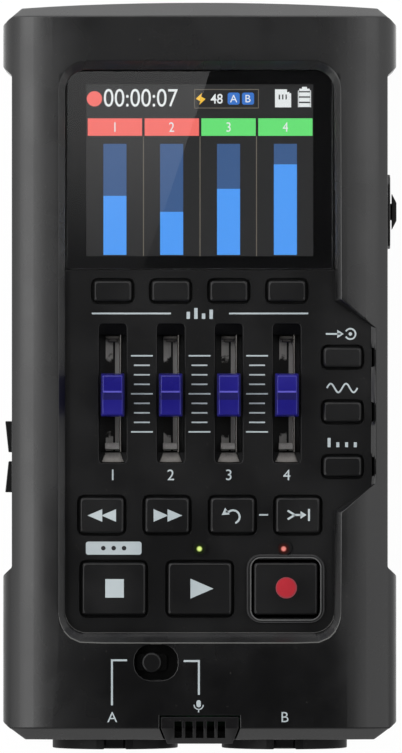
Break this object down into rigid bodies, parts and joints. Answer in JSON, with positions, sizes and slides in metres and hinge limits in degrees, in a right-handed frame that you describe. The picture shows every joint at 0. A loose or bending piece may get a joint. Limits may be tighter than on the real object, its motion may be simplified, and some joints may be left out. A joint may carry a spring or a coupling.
{
  "type": "multitrack recorder",
  "caption": "Handheld four-track recorder with faders, keys, a display, a built-in microphone and two input jacks.",
  "frame": {"origin": "under the middle of the whole, on the plane of the feet, with the recorder lying on its back", "axes": "+X to the right seen from the front, +Y towards the display end, +Z out of the control face"},
  "size_m": [0.0722, 0.137, 0.0388],
  "materials": {
    "case": "fine-grained dark grey moulded shell",
    "panel": "satin black moulded panel with pale print",
    "key": "satin black keycap",
    "fader": "semi-gloss blue grip",
    "glass": "polished clear window over a black mask",
    "board": "solder-masked circuit board",
    "steel": "plain plated steel",
    "nylon": "black glass-filled nylon",
    "rubber": "matt black rubber",
    "cell": "plain printed jacket",
    "contact": "stamped spring strip",
    "light": "clear light pipe"
  },
  "bodies": {
    "body": {"front_case": "case", "rear_case": "case", "front_panel": "panel", "display_window": "glass", "display_module": "steel", "main_board": "board", "input_board": "board", "fader_frame_1": "steel", "fader_frame_2": "steel", "fader_frame_3": "steel", "fader_frame_4": "steel", "light_pipe": "light", "combo_jack_a": "nylon", "combo_jack_b": "nylon", "mic_grille": "case", "mic_capsule": "steel", "power_plate": "case", "usb_socket": "steel", "phones_jack": "nylon", "battery_cell_1": "cell", "battery_cell_2": "cell", "battery_cell_3": "cell", "battery_cell_4": "cell", "battery_contacts_left": "contact", "battery_contacts_right": "contact", "case_screw_1": "steel", "case_screw_2": "steel", "case_screw_3": "steel", "case_screw_4": "steel", "foot_1": "rubber", "foot_2": "rubber", "foot_3": "rubber", "foot_4": "rubber"},
    "fader_1": {"fader_cap_1": "fader"},
    "fader_2": {"fader_cap_2": "fader"},
    "fader_3": {"fader_cap_3": "fader"},
    "fader_4": {"fader_cap_4": "fader"},
    "soft_1": {"soft_key_1": "key"},
    "soft_2": {"soft_key_2": "key"},
    "soft_3": {"soft_key_3": "key"},
    "soft_4": {"soft_key_4": "key"},
    "input": {"input_key": "key"},
    "effect": {"effect_key": "key"},
    "rhythm": {"rhythm_key": "key"},
    "rewind": {"rewind_key": "key"},
    "forward": {"forward_key": "key"},
    "undo": {"undo_key": "key"},
    "bounce": {"bounce_key": "key"},
    "stop": {"stop_key": "key"},
    "play": {"play_key": "key"},
    "record": {"record_key": "key"},
    "tab_a": {"release_tab_a": "nylon"},
    "tab_b": {"release_tab_b": "nylon"},
    "selector": {"selector_knob": "key"},
    "power": {"power_knob": "key"},
    "volume_up": {"volume_up_button": "key"},
    "volume_down": {"volume_down_button": "key"},
    "card_flap": {"card_door": "case"},
    "cover": {"battery_cover": "case"}
  },
  "joints": [
    {"name": "fader_1_slide", "type": "slide", "parent": "body", "child": "fader_1", "axis": [0, 1, 0], "range_m": [-0.0072, 0.0078]},
    {"name": "fader_2_slide", "type": "slide", "parent": "body", "child": "fader_2", "axis": [0, 1, 0], "range_m": [-0.0072, 0.0078]},
    {"name": "fader_3_slide", "type": "slide", "parent": "body", "child": "fader_3", "axis": [0, 1, 0], "range_m": [-0.0072, 0.0078]},
    {"name": "fader_4_slide", "type": "slide", "parent": "body", "child": "fader_4", "axis": [0, 1, 0], "range_m": [-0.0072, 0.0078]},
    {"name": "soft_1_press", "type": "slide", "parent": "body", "child": "soft_1", "axis": [0, 0, -1], "range_m": [0, 0.0006], "stiffness_N_per_m": 150, "springref_m": -0.0008},
    {"name": "soft_2_press", "type": "slide", "parent": "body", "child": "soft_2", "axis": [0, 0, -1], "range_m": [0, 0.0006], "stiffness_N_per_m": 150, "springref_m": -0.0008},
    {"name": "soft_3_press", "type": "slide", "parent": "body", "child": "soft_3", "axis": [0, 0, -1], "range_m": [0, 0.0006], "stiffness_N_per_m": 150, "springref_m": -0.0008},
    {"name": "soft_4_press", "type": "slide", "parent": "body", "child": "soft_4", "axis": [0, 0, -1], "range_m": [0, 0.0006], "stiffness_N_per_m": 150, "springref_m": -0.0008},
    {"name": "input_press", "type": "slide", "parent": "body", "child": "input", "axis": [0, 0, -1], "range_m": [0, 0.0006], "stiffness_N_per_m": 150, "springref_m": -0.0008},
    {"name": "effect_press", "type": "slide", "parent": "body", "child": "effect", "axis": [0, 0, -1], "range_m": [0, 0.0006], "stiffness_N_per_m": 150, "springref_m": -0.0008},
    {"name": "rhythm_press", "type": "slide", "parent": "body", "child": "rhythm", "axis": [0, 0, -1], "range_m": [0, 0.0006], "stiffness_N_per_m": 150, "springref_m": -0.0008},
    {"name": "rewind_press", "type": "slide", "parent": "body", "child": "rewind", "axis": [0, 0, -1], "range_m": [0, 0.0006], "stiffness_N_per_m": 150, "springref_m": -0.0008},
    {"name": "forward_press", "type": "slide", "parent": "body", "child": "forward", "axis": [0, 0, -1], "range_m": [0, 0.0006], "stiffness_N_per_m": 150, "springref_m": -0.0008},
    {"name": "undo_press", "type": "slide", "parent": "body", "child": "undo", "axis": [0, 0, -1], "range_m": [0, 0.0006], "stiffness_N_per_m": 150, "springref_m": -0.0008},
    {"name": "bounce_press", "type": "slide", "parent": "body", "child": "bounce", "axis": [0, 0, -1], "range_m": [0, 0.0006], "stiffness_N_per_m": 150, "springref_m": -0.0008},
    {"name": "stop_press", "type": "slide", "parent": "body", "child": "stop", "axis": [0, 0, -1], "range_m": [0, 0.0006], "stiffness_N_per_m": 150, "springref_m": -0.0008},
    {"name": "play_press", "type": "slide", "parent": "body", "child": "play", "axis": [0, 0, -1], "range_m": [0, 0.0006], "stiffness_N_per_m": 150, "springref_m": -0.0008},
    {"name": "record_press", "type": "slide", "parent": "body", "child": "record", "axis": [0, 0, -1], "range_m": [0, 0.0006], "stiffness_N_per_m": 150, "springref_m": -0.0008},
    {"name": "tab_a_press", "type": "slide", "parent": "body", "child": "tab_a", "axis": [0, 0, -1], "range_m": [0, 0.0008], "stiffness_N_per_m": 200, "springref_m": -0.0008},
    {"name": "tab_b_press", "type": "slide", "parent": "body", "child": "tab_b", "axis": [0, 0, -1], "range_m": [0, 0.0008], "stiffness_N_per_m": 200, "springref_m": -0.0008},
    {"name": "selector_slide", "type": "slide", "parent": "body", "child": "selector", "axis": [1, 0, 0], "range_m": [0, 0.0016]},
    {"name": "power_slide", "type": "slide", "parent": "body", "child": "power", "axis": [0, 1, 0], "range_m": [-0.0025, 0.0025]},
    {"name": "volume_up_press", "type": "slide", "parent": "body", "child": "volume_up", "axis": [1, 0, 0], "range_m": [0, 0.0006], "stiffness_N_per_m": 150, "springref_m": -0.0008},
    {"name": "volume_down_press", "type": "slide", "parent": "body", "child": "volume_down", "axis": [1, 0, 0], "range_m": [0, 0.0006], "stiffness_N_per_m": 150, "springref_m": -0.0008},
    {"name": "card_flap_hinge", "type": "hinge", "parent": "body", "child": "card_flap", "pos_m": [0.03385, 0.00598, 0.02315], "axis": [0, 0, -1], "range_deg": [0, 100]},
    {"name": "cover_slide", "type": "slide", "parent": "body", "child": "cover", "axis": [0, 1, 0], "range_m": [0, 0.066]}
  ]
}
